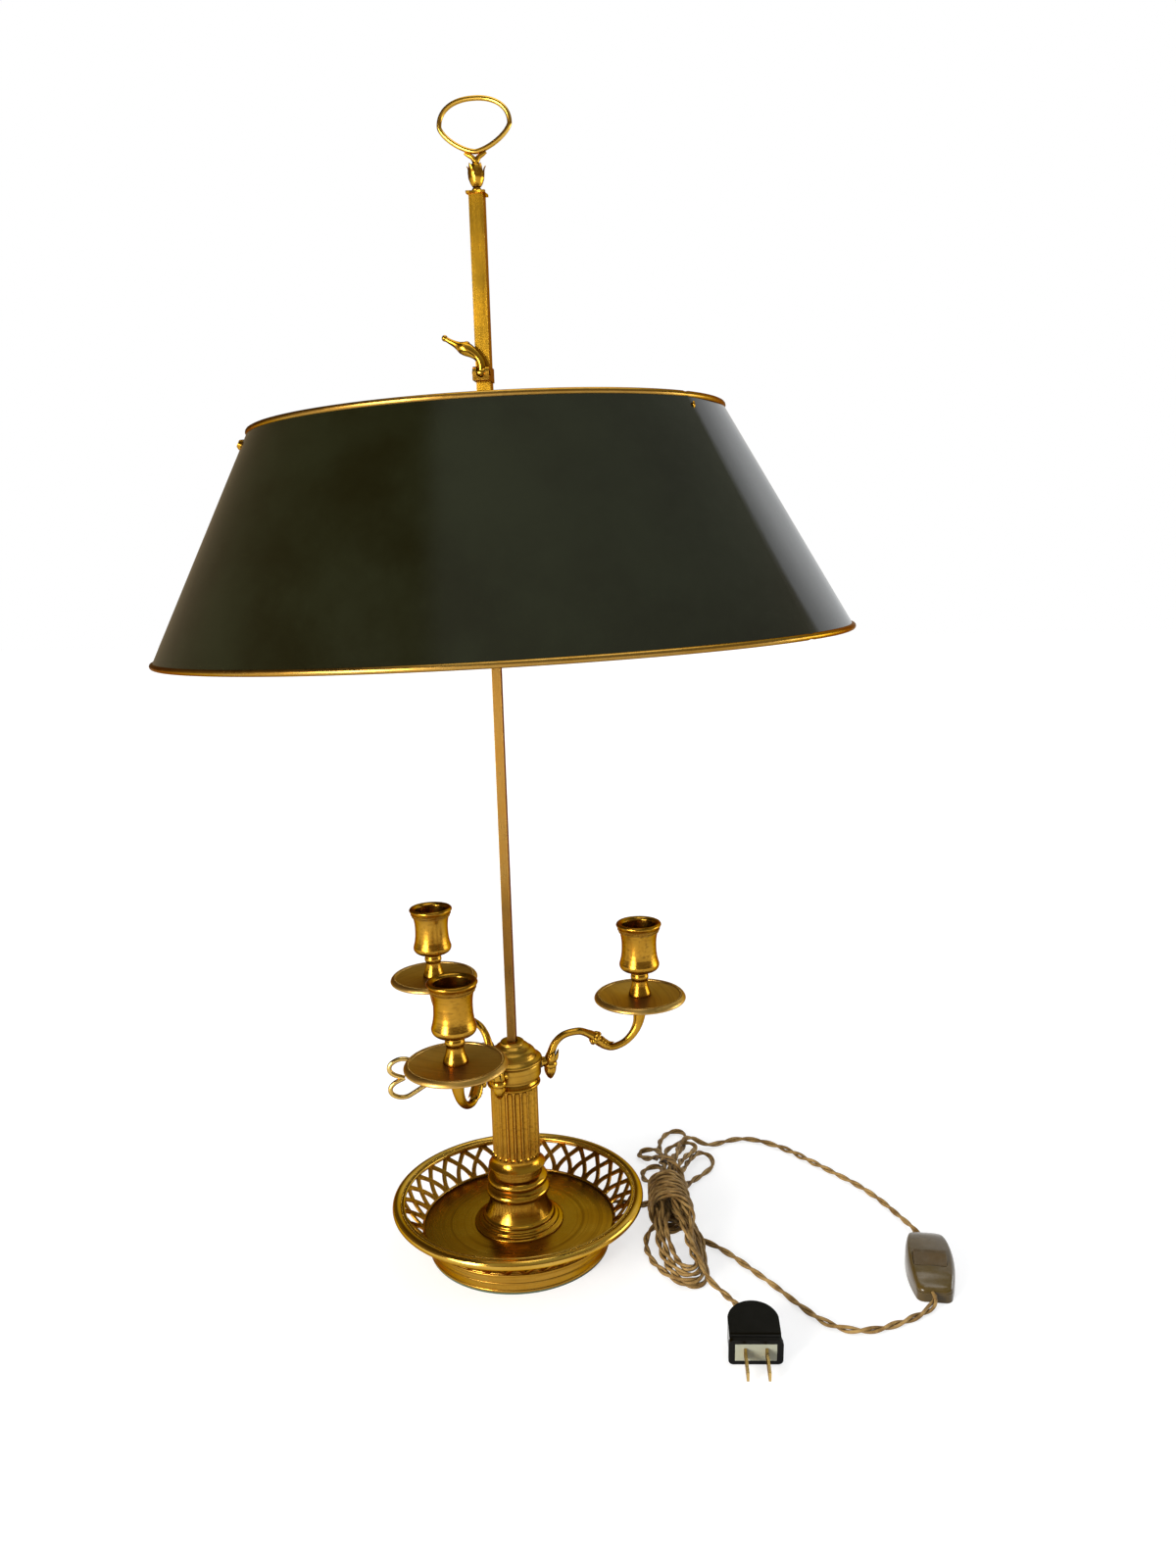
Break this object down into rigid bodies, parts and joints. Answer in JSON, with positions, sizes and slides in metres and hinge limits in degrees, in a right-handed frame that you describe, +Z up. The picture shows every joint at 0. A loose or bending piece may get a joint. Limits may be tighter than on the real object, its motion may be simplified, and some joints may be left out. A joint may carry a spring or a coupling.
{
  "type": "bouillotte table lamp",
  "caption": "Brass table lamp with a pierced gallery tray, scroll arms with candle cups, and an oval metal shade that slides on a square rod; cord with switch and plug.",
  "frame": {"origin": "centre of the foot on the table", "axes": "+Z up along the rod, +X along the shade's long axis, with the clamp lever on the -Y side"},
  "size_m": [0.5141, 0.3578, 0.7448],
  "materials": {
    "lacquered_brass": "golden lacquered brass, polished, slightly worn",
    "shade_enamel": "glossy dark bronze-green enamel on sheet metal",
    "steel": "plain steel",
    "iron": "rough cast iron",
    "felt": "green felt",
    "wire": "insulated flex",
    "lampholder": "cream glazed lampholder",
    "bulb_glass": "frosted glass",
    "switch_plastic": "taupe moulded plastic",
    "rocker_plastic": "brown moulded plastic",
    "black_plastic": "black moulded plastic",
    "face_plastic": "pale fibre plate",
    "blade_brass": "plain sheet brass",
    "silk_cord": "gold-brown twisted silk cord"
  },
  "bodies": {
    "stand": {"base_foot": "lacquered_brass", "base_felt": "felt", "base_weight": "iron", "base_washer": "steel", "base_nut": "steel", "tie_pipe": "steel", "cord_gland": "black_plastic", "inner_lead": "wire", "gallery": "lacquered_brass", "gallery_rim": "lacquered_brass", "column_base": "lacquered_brass", "column": "lacquered_brass", "arm_collar": "lacquered_brass", "hub_cap": "lacquered_brass", "candle_arm_front": "lacquered_brass", "candle_arm_right": "lacquered_brass", "candle_arm_back": "lacquered_brass", "drip_pan_front": "lacquered_brass", "drip_pan_right": "lacquered_brass", "drip_pan_back": "lacquered_brass", "candle_cup_front": "lacquered_brass", "candle_cup_right": "lacquered_brass", "candle_cup_back": "lacquered_brass", "rod": "lacquered_brass", "cluster_body": "lacquered_brass", "lampholder_left": "lampholder", "lampholder_right": "lampholder", "bulb_left": "bulb_glass", "bulb_right": "bulb_glass", "switch_base": "switch_plastic", "switch_cover": "switch_plastic", "plug_body": "black_plastic", "plug_face": "face_plastic", "plug_blades": "blade_brass", "cord_inlet": "silk_cord", "cord_hank": "silk_cord", "cord_to_switch": "silk_cord", "cord_from_switch": "silk_cord", "cord_to_plug": "silk_cord"},
    "shade_carriage": {"sleeve": "lacquered_brass", "sleeve_cap": "lacquered_brass", "finial_bud": "lacquered_brass", "finial_ring": "lacquered_brass", "lever_clip": "lacquered_brass", "lever_pin": "lacquered_brass", "spider": "lacquered_brass", "spider_screws": "lacquered_brass", "shade_sheet": "shade_enamel", "shade_rim_top": "lacquered_brass", "shade_rim_bottom": "lacquered_brass"},
    "lever": {"clamp_lever": "lacquered_brass"},
    "key": {"clamp_key": "lacquered_brass"},
    "rocker": {"switch_rocker": "rocker_plastic"}
  },
  "joints": [
    {"name": "shade_slide", "type": "slide", "parent": "stand", "child": "shade_carriage", "axis": [0, 0, 1], "range_m": [-0.035, 0.05]},
    {"name": "lever_pivot", "type": "hinge", "parent": "shade_carriage", "child": "lever", "pos_m": [0, -0.0082, 0.587], "axis": [1, 0, 0], "range_deg": [0, 70]},
    {"name": "key_turn", "type": "hinge", "parent": "stand", "child": "key", "pos_m": [0, 0, 0.1325], "axis": [-0.9455, -0.3256, 0], "range_deg": [-90, 90]},
    {"name": "rocker_tilt", "type": "hinge", "parent": "stand", "child": "rocker", "pos_m": [0.279, -0.0195, 0.0094], "axis": [0.9988, -0.0489, 0], "range_deg": [-18, 0]}
  ]
}
